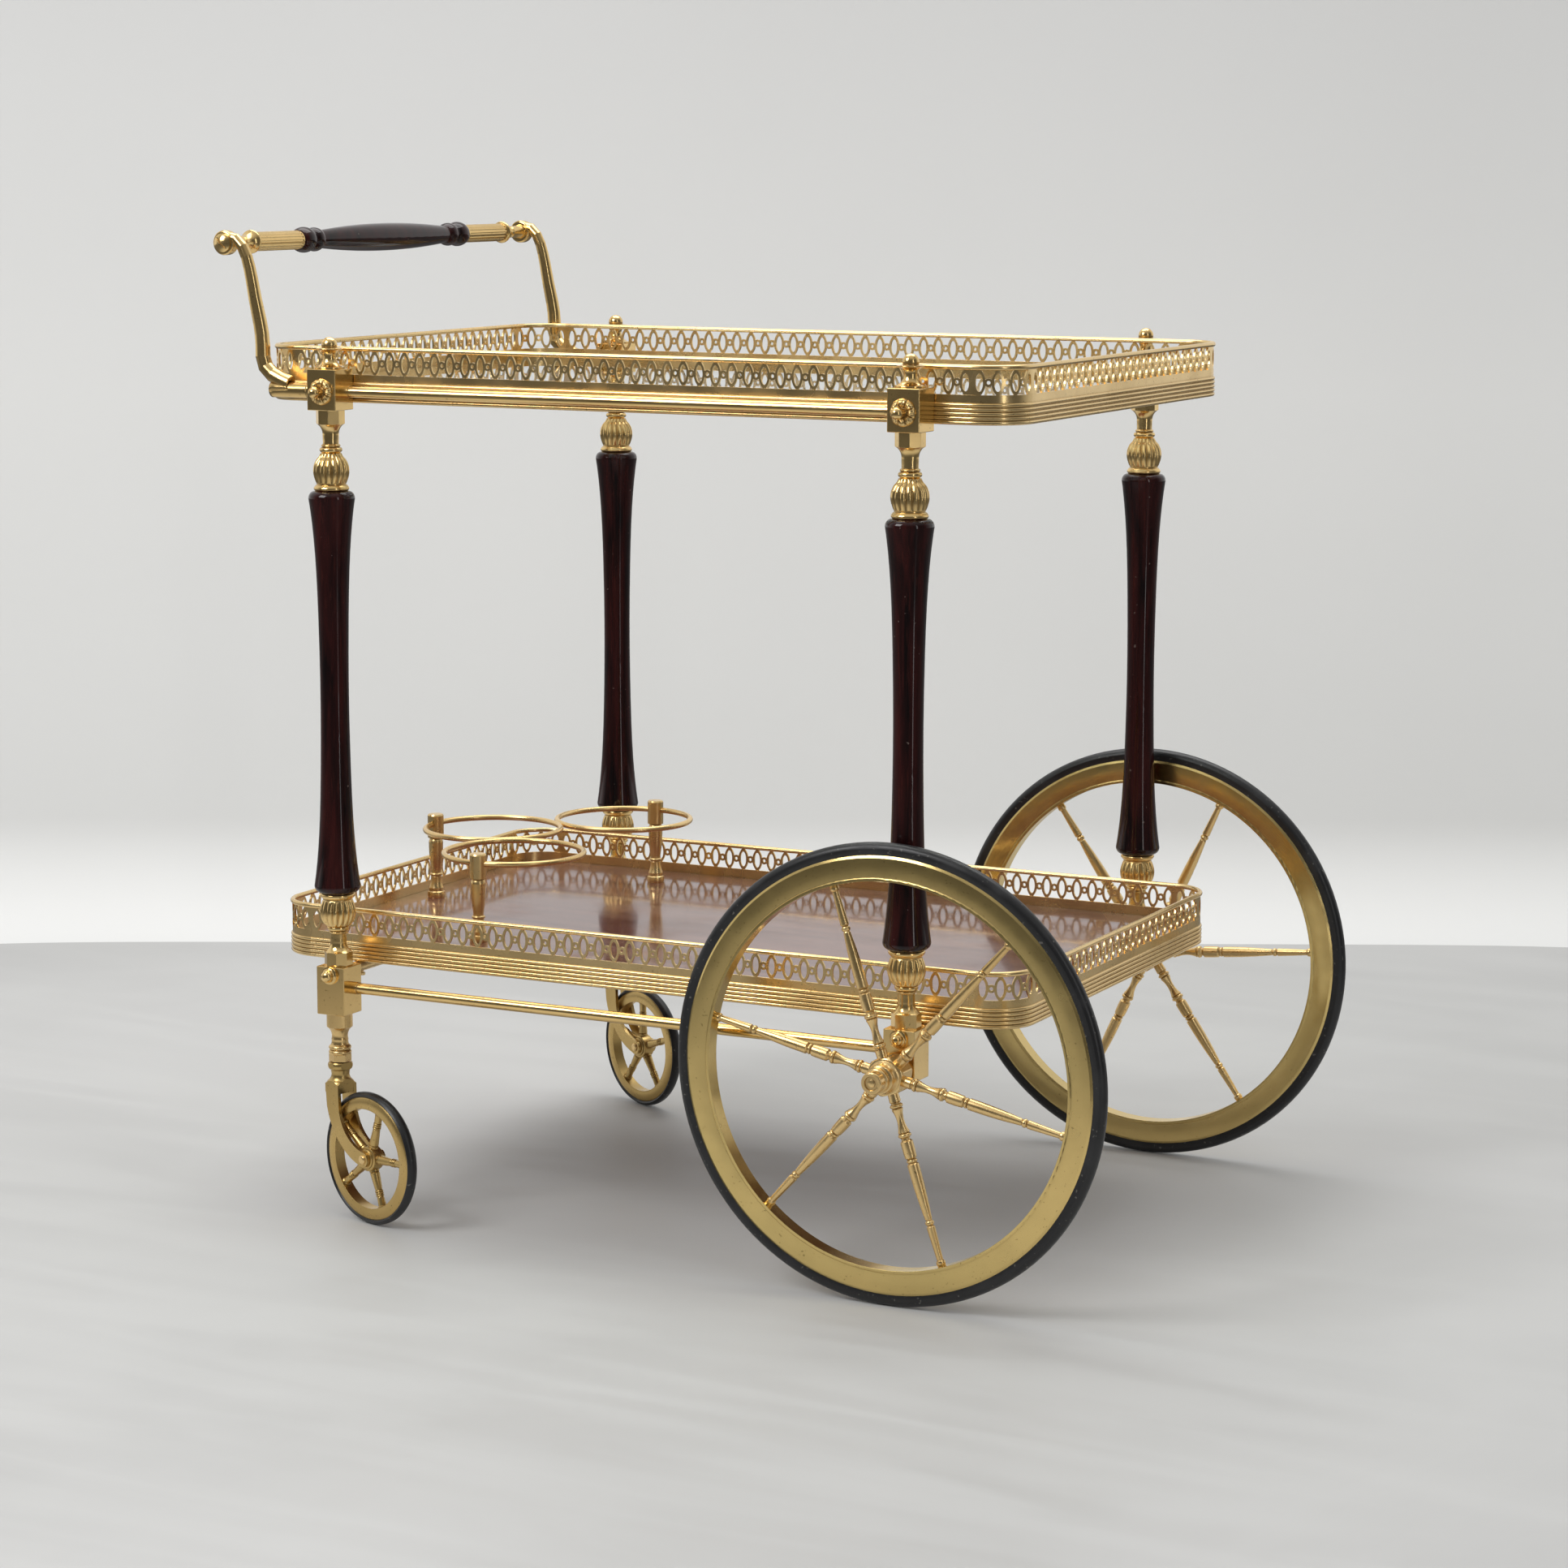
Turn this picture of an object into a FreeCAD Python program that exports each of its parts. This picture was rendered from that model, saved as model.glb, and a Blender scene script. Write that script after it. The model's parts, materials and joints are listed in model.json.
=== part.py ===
"""Two-tier serving trolley in brass and dark wood, in millimetres.

+X points to the front (two large wheels), -X to the rear (handle and casters),
-Y is the right side, +Y the left side, +Z is up. The origin lies on the floor
under the centre of the overall box.
"""
import FreeCAD, Part
import math
import os

V = FreeCAD.Vector

# Overall layout.
FRONT_X = 222.4
POST_SPACING_X = 515.0
REAR_X = FRONT_X - POST_SPACING_X
POST_Y = 236.0
SIDES = {"right": -1, "left": 1}
CORNERS = {
    "rear_right": (REAR_X, -POST_Y),
    "rear_left": (REAR_X, POST_Y),
    "front_right": (FRONT_X, -POST_Y),
    "front_left": (FRONT_X, POST_Y),
}
REAR_CORNERS = ("rear_right", "rear_left")

# Heights of the stacked post parts.
UPPER_BLOCK_BOTTOM = 667.0
UPPER_BLOCK_TOP = 700.0
LOWER_BLOCK_BOTTOM = 171.5
LOWER_BLOCK_TOP = 211.6
UPPER_NECK_BOTTOM = 632.2
LOWER_NECK_TOP = 245.6
WOOD_BOTTOM = 272.3
WOOD_TOP = 602.0
UPPER_BLOCK_SIDE = 26.8
LOWER_BLOCK_SIDE = 26.5
BLOCK_CHAMFER = 0.5

# Turned wooden posts: a cylinder that swells exponentially towards both ends.
WOOD_WAIST_R = 11.3
WOOD_SWELL = 7.5
WOOD_FALL = 48.0
WOOD_SHOULDER = 6.0
WOOD_SEAT_R = 13.2

# Hidden threaded rod that clamps each post together, and small studs.
TIE_ROD_R = 3.0
TIE_ROD_BOTTOM = 190.0
TIE_ROD_TOP = 705.0
STUD_R = 3.0
SMALL_STUD_R = 2.5
SCREW_R = 2.0
SCREW_HEAD_R = 3.4
STUD_DEPTH = 7.5
FIT_GAP = 0.1
RUN_GAP = 0.05

# Side rails and cross bars.
UPPER_RAIL_Z = 682.0
LOWER_RAIL_Z = 193.5
RAIL_R = 4.5
RAIL_SLEEVE_R = 5.1
RAIL_SLEEVE_LENGTH = 6.0
CROSSBAR_R = 4.8

# Trays: each is (length, width, height of the bottom edge).
TRAY_CENTRE_X = -34.5
UPPER_TRAY = (672.0, 445.2, 672.4)
LOWER_TRAY = (676.0, 420.8, 209.6)
TRAY_CORNER_R = 35.5
BAND_HEIGHT = 22.5
BAND_WALL = 1.8
RIB_COUNT = 5
RIB_PITCH = 3.3
RIB_HEIGHT = 1.2
RIB_CHORD = 3.0
LEDGE_WIDTH = 9.0
LEDGE_THICKNESS = 2.4
GLASS_THICKNESS = 5.0
PANEL_THICKNESS = 8.0
FLOOR_HEIGHT = 14.5
PANEL_GAP = 0.3
GALLERY_HEIGHT = 18.7
GALLERY_THICKNESS = 1.5
GALLERY_RAIL_R = 2.1
GALLERY_RAIL_RISE = 1.7

# Pierced gallery pattern.
GALLERY_PITCH = 14.0
OVAL_HALF_WIDTH = 4.85
OVAL_FOOT = 1.2
OVAL_HOLE_HALF_WIDTH = 2.9
OVAL_HOLE_HALF_HEIGHT = 6.75
RING_R = 3.25
RING_HOLE_R = 1.4
GALLERY_MARGIN = 5.45

# Bottle holder: three wire rings on turned posts.
RING_WIRE_R = 2.4
BOTTLE_RING_R = 58.6
BOTTLE_RING_Z = 290.0
BOTTLE_RINGS = {"rear": (-285.1, 0.0), "right": (-208.1, -95.0), "left": (-208.1, 95.0)}
BOTTLE_POSTS = ((-343.7, 0.0), (-208.1, -153.6), (-208.1, 153.6))

# Handle across the rear.
GRIP_X = -390.6
GRIP_Z = 799.1
GRIP_ROD_R = 3.5
GRIP_R = 11.8
GRIP_END_R = 7.4
GRIP_HALF = 132.0
EYE_R = 10.0
EYE_THICKNESS = 9.0
ARM_END_R = 4.3
ARM_BEND_R = 6.5
ARM_STATIONS = 25

# Large front wheels.
WHEEL_R = 180.0
WHEEL_Y = 268.3
RIM_OUTER_R = 170.5
RIM_INNER_R = 150.8
SPOKE_COUNT = 6
FIRST_SPOKE_ANGLE = {"right": 48.0, "left": 5.0}
HUB_FLAT_R = 14.0
AXLE_R = 6.0
AXLE_DEPTH = 18.0
AXLE_OUTER_END = 21.0
HUB_END = 18.0

# Casters under the rear posts.
CASTER_R = 55.2
CASTER_TRAIL = 39.0
CASTER_RIM_OUTER_R = 51.0
CASTER_RIM_INNER_R = 41.5
CASTER_SPOKE_COUNT = 5
CASTER_REST_ANGLE = {"right": -18.5, "left": -25.6}
CASTER_SPOKE_ANGLE = {"right": 2.0, "left": 18.0}
CASTER_NECK_BOTTOM = 137.0
CASTER_NUT_BOTTOM = 131.0
SPIGOT_R = 5.0
STEM_R = 4.0
STEM_TOP = 165.0
CASTER_AXLE_R = 3.0
FORK_INNER_HALF = 6.8
FORK_ARM_THICKNESS = 3.0
FORK_TOP = 112.0
FORK_BRIDGE = 7.0
FORK_BACK = -8.0
FORK_FRONT = 8.4
FORK_END_R = 6.4


# ---------------------------------------------------------------- helpers

def outline_edges(points):
    """Join (across, up) points; a third value bows that edge out by that much."""
    edges = []
    for start, end in zip(points, points[1:]):
        a = V(start[0], 0, start[1])
        b = V(end[0], 0, end[1])
        if len(end) == 2:
            edges.append(Part.makeLine(a, b))
            continue
        chord = b - a
        outward = V(chord.z, 0, -chord.x).normalize()
        middle = (a + b) * 0.5 + outward * end[2]
        edges.append(Part.Arc(a, middle, b).toShape())
    return edges


def turned(points, bore=0.0):
    """Revolve an outline listed from bottom to top about Z, leaving a bore."""
    edges = outline_edges(points)
    return revolve_edges(edges, points[0], points[-1], bore)


def dome_bow(radius, height):
    """Bow of the outline of a spherical cap, from its rim to its crown."""
    sphere_r = (radius ** 2 + height ** 2) / (2 * height)
    half_angle = math.asin(min(1.0, radius / sphere_r))
    return sphere_r * (1 - math.cos(half_angle / 2))


def revolve_edges(edges, bottom, top, bore):
    """Close an outer outline along the bore (or the axis) and revolve it."""
    corners = [top[:2], (bore, top[1]), (bore, bottom[1]), bottom[:2]]
    for start, end in zip(corners, corners[1:]):
        if math.dist(start, end) > 1e-6:
            edges.append(Part.makeLine(V(start[0], 0, start[1]), V(end[0], 0, end[1])))
    face = Part.Face(Part.Wire(edges))
    return face.revolve(V(0, 0, 0), V(0, 0, 1), 360)


def cylinder(radius, start, end):
    """Solid cylinder between two points."""
    axis = end - start
    return Part.makeCylinder(radius, axis.Length, start, axis)


def prism(sides, flat_radius, bottom, top):
    """Upright regular prism about Z, given the distance to its flats."""
    corner_radius = flat_radius / math.cos(math.pi / sides)
    ring = []
    for index in range(sides + 1):
        angle = math.pi / sides + 2 * math.pi * index / sides
        ring.append(V(corner_radius * math.cos(angle), corner_radius * math.sin(angle), bottom))
    return Part.Face(Part.makePolygon(ring)).extrude(V(0, 0, top - bottom))


def at(shape, x, y, z=0.0):
    """Copy of a shape, moved."""
    return shape.translated(V(x, y, z))


def facing_y(shape, side):
    """Turn a shape made along +Z so that it points along side * Y."""
    return shape.rotated(V(0, 0, 0), V(1, 0, 0), -90 * side)


def facing_x(shape, direction):
    """Turn a shape made along +Z so that it points along direction * X."""
    return shape.rotated(V(0, 0, 0), V(0, 1, 0), 90 * direction)


def fused(shapes):
    """One solid from touching or overlapping shapes."""
    return shapes[0].fuse(list(shapes[1:])).removeSplitter()


def save(node, *solids):
    """Write one node; a node may hold a group of separate solids."""
    shape = solids[0] if len(solids) == 1 else Part.makeCompound(list(solids))
    shape.exportStep("parts/" + node + ".step")


def at_corners(shape, names=tuple(CORNERS)):
    """Copies of a post part made about the Z axis, one per corner."""
    return [at(shape, *CORNERS[name]) for name in names]


# ---------------------------------------------------------------- posts

def wood_post():
    """Turned post with rounded shoulders and a long concave taper."""
    swell_bottom = WOOD_BOTTOM + WOOD_SHOULDER
    swell_top = WOOD_TOP - WOOD_SHOULDER
    half = (swell_top - swell_bottom) / 2
    distances = [0, 14, 34, 64, 105, half]
    middle = (swell_top + swell_bottom) / 2

    def radius(distance):
        return WOOD_WAIST_R + WOOD_SWELL * math.exp(-distance / WOOD_FALL)

    lower = [V(radius(d), 0, swell_bottom + d) for d in distances]
    upper = [V(p.x, 0, 2 * middle - p.z) for p in reversed(lower[:-1])]
    taper = Part.BSplineCurve()
    taper.interpolate(lower + upper)
    swell_r = radius(0)
    edges = outline_edges([(WOOD_SEAT_R, WOOD_BOTTOM), (swell_r, swell_bottom, 1.7)])
    edges.append(taper.toShape())
    edges += outline_edges([(swell_r, swell_top), (WOOD_SEAT_R, WOOD_TOP, 1.7)])
    bottom = (WOOD_SEAT_R, WOOD_BOTTOM)
    top = (WOOD_SEAT_R, WOOD_TOP)
    return revolve_edges(edges, bottom, top, TIE_ROD_R + FIT_GAP)


def fluted_bulb(height):
    """Melon-shaped brass bulb on a lip, standing on z = 0, with cut flutes."""
    foot = (12.0, 6.2)
    crown = (8.6, height)
    bulge = 4.4
    body = turned([(13.2, 0), (14.3, 1.8, 0.4), (13.6, 4.6, 0.4), (11.6, 5.2), (11.6, 5.8),
                   foot, crown + (bulge,)], TIE_ROD_R + FIT_GAP)
    flute_depth = 1.0
    flute_width = 1.1
    core = turned([(foot[0] - flute_depth, foot[1]), (crown[0] - flute_depth, height, bulge)])
    slab = Part.makeBox(foot[0] + bulge, flute_width, height - foot[1],
                        V(2.0, -flute_width / 2, foot[1]))
    flute = slab.cut(core)
    count = 14
    flutes = [flute.rotated(V(0, 0, 0), V(0, 0, 1), 360.0 * k / count) for k in range(count)]
    return body.cut(flutes)


def neck(height):
    """Eight-sided collar on z = 0 that runs through a cove to a beaded top."""
    collar_flat = 10.8
    collar_corner = collar_flat / math.cos(math.pi / 8)
    collar_top = 10.9
    outline = [
        (collar_corner, 0), (collar_corner, collar_top), (6.7, collar_top + 9.0, -1.6),
        (6.5, height - 7.4), (7.3, height - 6.9), (7.3, height - 5.4, 0.5), (6.9, height - 5.0),
        (8.2, height - 4.6), (8.2, height - 1.0, 1.0), (7.4, height),
    ]
    body = turned(outline, TIE_ROD_R + FIT_GAP)
    return body.common(prism(8, collar_flat, 0, height))


def finial():
    """Ball on a disc over a concave foot; the tie rod ends inside it."""
    base = UPPER_BLOCK_TOP
    ball_r = 6.4
    ball_z = base + 19.1
    seat_z = base + 17.2
    seat_r = math.sqrt(ball_r ** 2 - (ball_z - seat_z) ** 2)
    outline = [
        (12.0, base), (12.0, base + 1.6, 0.2), (5.3, base + 10.5, -2.2),
        (10.0, base + 15.4, -1.2), (10.4, base + 16.6, 0.4), (seat_r, seat_z),
        (ball_r, ball_z, 0.08), (0, ball_z + ball_r, dome_bow(ball_r, ball_r)),
    ]
    socket_r = TIE_ROD_R + FIT_GAP
    socket = Part.makeCylinder(socket_r, TIE_ROD_TOP + 1 - base, V(0, 0, base))
    return turned(outline).cut(socket)


def chamfered_block(side, bottom, top):
    """Square block about Z with every edge broken."""
    box = Part.makeBox(side, side, top - bottom, V(-side / 2, -side / 2, bottom))
    return box.makeChamfer(BLOCK_CHAMFER, box.Edges)


def socket(direction, radius, face_distance, z, depth=STUD_DEPTH + 0.5):
    """Blind hole in a block face, as a cutting cylinder."""
    start = direction * face_distance + V(0, 0, z)
    return cylinder(radius + FIT_GAP, start, start - direction * depth)


def upper_block(name):
    """Corner block of the top tray with its rail, handle and screw holes."""
    x_sign = -1 if name.startswith("rear") else 1
    y_sign = -1 if name.endswith("right") else 1
    half = UPPER_BLOCK_SIDE / 2
    rod_hole = Part.makeCylinder(TIE_ROD_R + FIT_GAP, 40, V(0, 0, UPPER_BLOCK_BOTTOM - 2))
    holes = [
        rod_hole,
        socket(V(-x_sign, 0, 0), STUD_R, half, UPPER_RAIL_Z),
        socket(V(0, y_sign, 0), SMALL_STUD_R, half, UPPER_RAIL_Z),
        socket(V(0, -y_sign, 0), SCREW_R, half, tray_screw_z()),
    ]
    if x_sign < 0:
        holes.append(socket(V(-1, 0, 0), STUD_R, half, UPPER_RAIL_Z))
    block = chamfered_block(UPPER_BLOCK_SIDE, UPPER_BLOCK_BOTTOM, UPPER_BLOCK_TOP)
    return at(block.cut(holes), *CORNERS[name])


def lower_block(name):
    """Corner block of the lower tray with rail, crossbar and wheel holes."""
    x_sign = -1 if name.startswith("rear") else 1
    y_sign = -1 if name.endswith("right") else 1
    half = LOWER_BLOCK_SIDE / 2
    rod_hole = Part.makeCylinder(TIE_ROD_R + FIT_GAP, 40, V(0, 0, TIE_ROD_BOTTOM - 0.5))
    holes = [
        rod_hole,
        socket(V(-x_sign, 0, 0), STUD_R, half, LOWER_RAIL_Z),
        socket(V(0, y_sign, 0), SMALL_STUD_R, half, crossbar_z()),
        socket(V(0, -y_sign, 0), STUD_R, half, crossbar_z()),
    ]
    if x_sign < 0:
        spigot = Part.makeCylinder(SPIGOT_R + FIT_GAP, 10, V(0, 0, LOWER_BLOCK_BOTTOM))
        holes.append(spigot)
    else:
        holes.append(socket(V(0, y_sign, 0), AXLE_R, half, WHEEL_R, AXLE_DEPTH + 0.5))
    block = chamfered_block(LOWER_BLOCK_SIDE, LOWER_BLOCK_BOTTOM, LOWER_BLOCK_TOP)
    return at(block.cut(holes), *CORNERS[name])


def tray_screw_z():
    """Height of the screws that hold the upper tray to its blocks."""
    return UPPER_TRAY[2] + 3.4


def crossbar_z():
    """Height of the cross bars, which the lower tray rests on."""
    return LOWER_TRAY[2] - CROSSBAR_R


def rosette():
    """Leafy screw cover with a ball standing out from its middle, along +Z."""
    leaves = []
    leaf_r = 3.3
    leaf_sink = 0.8
    leaf = Part.makeSphere(leaf_r)
    leaf_ring_r = 7.6
    count = 10
    for k in range(count):
        angle = 2 * math.pi * k / count
        x = leaf_ring_r * math.cos(angle)
        y = leaf_ring_r * math.sin(angle)
        leaves.append(at(leaf, x, y, -leaf_sink))
    disc = turned([(9.0, 0), (9.4, 0.8, 0.1), (6.0, 3.2, 0.3)])
    ball_r = 4.6
    ball_z = 10.6
    shaft = turned([(4.2, 0), (2.9, 6.4, -0.5), (2.9, ball_z)])
    ball = at(Part.makeSphere(ball_r), 0, 0, ball_z)
    stud = Part.makeCylinder(SMALL_STUD_R, STUD_DEPTH, V(0, 0, -STUD_DEPTH))
    reach = leaf_ring_r + ball_r
    above = Part.makeBox(2 * reach, 2 * reach, 2 * reach, V(-reach, -reach, 0))
    head = fused([disc, shaft, ball] + leaves).common(above)
    return fused([head, stud])


def acorn_nut():
    """Ball-headed nut with a skirt, pointing along +Z."""
    ball_r = 5.0
    head = turned([(7.2, 0), (7.2, 2.0, 0.2), (ball_r, 3.6, -0.4), (ball_r, 4.6),
                   (0, 4.6 + ball_r, dome_bow(ball_r, ball_r))])
    stud = Part.makeCylinder(SMALL_STUD_R, STUD_DEPTH, V(0, 0, -STUD_DEPTH))
    return fused([head, stud])


def build_posts():
    for name, place in CORNERS.items():
        save("wood_post_" + name, at(wood_post(), *place))
    upper_height = UPPER_NECK_BOTTOM - WOOD_TOP
    upper_bulb = at(fluted_bulb(upper_height), 0, 0, WOOD_TOP)
    save("upper_fluted_bulbs", *at_corners(upper_bulb))
    lower_height = WOOD_BOTTOM - LOWER_NECK_TOP
    flipped = fluted_bulb(lower_height).rotated(V(0, 0, 0), V(1, 0, 0), 180)
    save("lower_fluted_bulbs", *at_corners(at(flipped, 0, 0, WOOD_BOTTOM)))
    lower_neck = at(neck(LOWER_NECK_TOP - LOWER_BLOCK_TOP), 0, 0, LOWER_BLOCK_TOP)
    save("lower_necks", *at_corners(lower_neck))
    flipped = neck(UPPER_BLOCK_BOTTOM - UPPER_NECK_BOTTOM).rotated(V(0, 0, 0), V(1, 0, 0), 180)
    save("upper_necks", *at_corners(at(flipped, 0, 0, UPPER_BLOCK_BOTTOM)))
    save("finials", *at_corners(finial()))
    save("upper_corner_blocks", *[upper_block(name) for name in CORNERS])
    save("lower_corner_blocks", *[lower_block(name) for name in CORNERS])
    rod = Part.makeCylinder(TIE_ROD_R, TIE_ROD_TOP - TIE_ROD_BOTTOM, V(0, 0, TIE_ROD_BOTTOM))
    save("tie_rods", *at_corners(rod))


def build_block_covers():
    rosettes = []
    nuts = []
    for x, y in CORNERS.values():
        side = 1 if y > 0 else -1
        face = POST_Y + UPPER_BLOCK_SIDE / 2
        rosettes.append(at(facing_y(rosette(), side), x, side * face, UPPER_RAIL_Z))
        face = POST_Y + LOWER_BLOCK_SIDE / 2
        nuts.append(at(facing_y(acorn_nut(), side), x, side * face, crossbar_z()))
    save("rosettes", *rosettes)
    save("acorn_nuts", *nuts)


# ---------------------------------------------------------------- rails

def side_rail(block_side, z, side):
    """Round rail between the front and rear blocks with sleeves and studs."""
    half = block_side / 2
    start = REAR_X + half
    end = FRONT_X - half
    rail = turned([
        (RAIL_SLEEVE_R, 0), (RAIL_SLEEVE_R, RAIL_SLEEVE_LENGTH), (RAIL_R, RAIL_SLEEVE_LENGTH),
        (RAIL_R, end - start - RAIL_SLEEVE_LENGTH),
        (RAIL_SLEEVE_R, end - start - RAIL_SLEEVE_LENGTH), (RAIL_SLEEVE_R, end - start),
    ])
    stud = Part.makeCylinder(STUD_R, end - start + 2 * STUD_DEPTH, V(0, 0, -STUD_DEPTH))
    return at(facing_x(fused([rail, stud]), 1), start, side * POST_Y, z)


def crossbar(x):
    """Round bar under the lower tray, drilled for two tray screws."""
    half = POST_Y - LOWER_BLOCK_SIDE / 2
    body = cylinder(CROSSBAR_R, V(x, -half, crossbar_z()), V(x, half, crossbar_z()))
    reach = half + STUD_DEPTH
    stud = cylinder(STUD_R, V(x, -reach, crossbar_z()), V(x, reach, crossbar_z()))
    holes = []
    for side in SIDES.values():
        low = V(x, side * lower_screw_y(), crossbar_z() - 2 * CROSSBAR_R)
        holes.append(cylinder(SCREW_R + FIT_GAP, low, low + V(0, 0, 4 * CROSSBAR_R)))
    return fused([body, stud]).cut(holes)


def lower_screw_y():
    """Distance from the middle of the screws that hold the lower tray."""
    return LOWER_TRAY[1] / 2 - 8.0


def build_rails():
    for name, side in SIDES.items():
        save("upper_side_rail_" + name, side_rail(UPPER_BLOCK_SIDE, UPPER_RAIL_Z, side))
        save("lower_side_rail_" + name, side_rail(LOWER_BLOCK_SIDE, LOWER_RAIL_Z, side))
    save("crossbar_rear", crossbar(REAR_X))
    save("crossbar_front", crossbar(FRONT_X))


# ---------------------------------------------------------------- trays

def ring_from_section(section, tray):
    """Carry a section round a tray.

    The section lies in the XZ plane: x is the distance out from the tray's
    outline, z the height above the tray's bottom edge.
    """
    length, width, bottom = tray
    half_x = length / 2 - TRAY_CORNER_R
    half_y = width / 2 - TRAY_CORNER_R
    pieces = []
    for quarter in range(4):
        run_half, out = ((half_y, half_x), (half_x, half_y))[quarter % 2]
        straight = at(section, out + TRAY_CORNER_R, -run_half)
        straight = straight.extrude(V(0, 2 * run_half, 0))
        corner = at(section, TRAY_CORNER_R, 0).revolve(V(0, 0, 0), V(0, 0, 1), 90)
        corner = at(corner, out, run_half)
        for piece in (straight, corner):
            pieces.append(piece.rotated(V(0, 0, 0), V(0, 0, 1), 90 * quarter))
    return at(fused(pieces), TRAY_CENTRE_X, 0, bottom)


def band_section(ledge_z):
    """Reeded wall with a ledge for the shelf on its inner side."""
    face = -RIB_HEIGHT
    inner = face - BAND_WALL
    points = [(face, 0)]
    for k in range(RIB_COUNT):
        middle = RIB_PITCH * (k + 0.5)
        points.append((face, middle - RIB_CHORD / 2))
        points.append((face, middle + RIB_CHORD / 2, RIB_HEIGHT))
    points += [(face, BAND_HEIGHT), (inner, BAND_HEIGHT), (inner, ledge_z),
               (inner - LEDGE_WIDTH, ledge_z), (inner - LEDGE_WIDTH, ledge_z - LEDGE_THICKNESS),
               (inner, ledge_z - LEDGE_THICKNESS), (inner, 0), (face, 0)]
    return Part.Face(Part.Wire(outline_edges(points)))


def gallery_rail(tray):
    """Round bead along the gallery's top edge, with a flat seat below."""
    centre_z = BAND_HEIGHT + GALLERY_HEIGHT + GALLERY_RAIL_RISE
    half_flat = math.sqrt(GALLERY_RAIL_R ** 2 - GALLERY_RAIL_RISE ** 2)
    middle = -RIB_HEIGHT - GALLERY_THICKNESS / 2
    seat_z = BAND_HEIGHT + GALLERY_HEIGHT
    a = V(middle - half_flat, 0, seat_z)
    b = V(middle + half_flat, 0, seat_z)
    top = V(middle, 0, centre_z + GALLERY_RAIL_R)
    section = Part.Face(Part.Wire([Part.makeLine(a, b), Part.Arc(b, top, a).toShape()]))
    return ring_from_section(section, tray)


def oval_edge_radius():
    """Radius of the arcs that bound each tall oval on the outside."""
    half_height = GALLERY_HEIGHT / 2
    reach = OVAL_HALF_WIDTH - OVAL_FOOT
    return (reach ** 2 + half_height ** 2) / (2 * reach)


def spandrel_wire(centre, pitch, up):
    """Opening between two ovals, from the strip's edge to the small ring."""
    half_height = GALLERY_HEIGHT / 2
    radius = oval_edge_radius()
    to_ring = pitch / 2 + radius - OVAL_HALF_WIDTH
    along = (to_ring ** 2 + radius ** 2 - RING_R ** 2) / (2 * to_ring)
    meet_u = to_ring - along
    meet_v = math.sqrt(radius ** 2 - along ** 2)
    foot_u = pitch / 2 - OVAL_FOOT
    side_u = to_ring - radius * math.cos(math.asin((half_height + meet_v) / 2 / radius))
    side_v = (half_height + meet_v) / 2

    def point(u, v):
        return V(centre + u, 0, half_height + (v if up else -v))

    return Part.Wire([
        Part.makeLine(point(-foot_u, half_height), point(foot_u, half_height)),
        Part.Arc(point(foot_u, half_height), point(side_u, side_v), point(meet_u, meet_v)).toShape(),
        Part.Arc(point(meet_u, meet_v), point(0, RING_R), point(-meet_u, meet_v)).toShape(),
        Part.Arc(point(-meet_u, meet_v), point(-side_u, side_v),
                 point(-foot_u, half_height)).toShape(),
    ])


def gallery_holes(length):
    """Wires of every opening in a gallery strip of one straight length."""
    pitches = round((length - 2 * GALLERY_MARGIN) / GALLERY_PITCH)
    pitch = (length - 2 * GALLERY_MARGIN) / pitches
    half_height = GALLERY_HEIGHT / 2
    wires = []
    for k in range(pitches + 1):
        u = GALLERY_MARGIN + k * pitch
        oval = Part.Ellipse(V(u, 0, half_height + OVAL_HOLE_HALF_HEIGHT),
                            V(u + OVAL_HOLE_HALF_WIDTH, 0, half_height), V(u, 0, half_height))
        wires.append(Part.Wire(oval.toShape()))
        if k == pitches:
            continue
        middle = u + pitch / 2
        ring = Part.makeCircle(RING_HOLE_R, V(middle, 0, half_height), V(0, 1, 0))
        wires.append(Part.Wire(ring))
        wires.append(spandrel_wire(middle, pitch, True))
        wires.append(spandrel_wire(middle, pitch, False))
    return wires


def straight_gallery(length):
    """Pierced strip in the XZ plane from x = 0, its thickness towards +Y."""
    corners = [V(0, 0, 0), V(length, 0, 0), V(length, 0, GALLERY_HEIGHT), V(0, 0, GALLERY_HEIGHT)]
    edge = Part.makePolygon(corners + corners[:1])
    face = Part.Face([edge] + gallery_holes(length))
    face.validate()
    return face.extrude(V(0, GALLERY_THICKNESS, 0))


def corner_gallery():
    """Pierced quarter turn about Z, from the +X axis to the +Y axis."""
    outer = TRAY_CORNER_R - RIB_HEIGHT
    inner = outer - GALLERY_THICKNESS
    middle = (outer + inner) / 2
    wall = Part.makeCylinder(outer, GALLERY_HEIGHT, V(0, 0, 0), V(0, 0, 1), 90)
    wall = wall.cut(Part.makeCylinder(inner, GALLERY_HEIGHT, V(0, 0, 0), V(0, 0, 1), 360))
    tools = []
    for wire in gallery_holes(middle * math.pi / 2):
        u = (wire.BoundBox.XMin + wire.BoundBox.XMax) / 2
        tool = Part.Face(wire).extrude(V(0, 4 * GALLERY_THICKNESS, 0))
        tool = at(tool, -u, -outer - GALLERY_THICKNESS)
        tools.append(tool.rotated(V(0, 0, 0), V(0, 0, 1), 90 + math.degrees(u / middle)))
    return wall.cut(tools)


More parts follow.
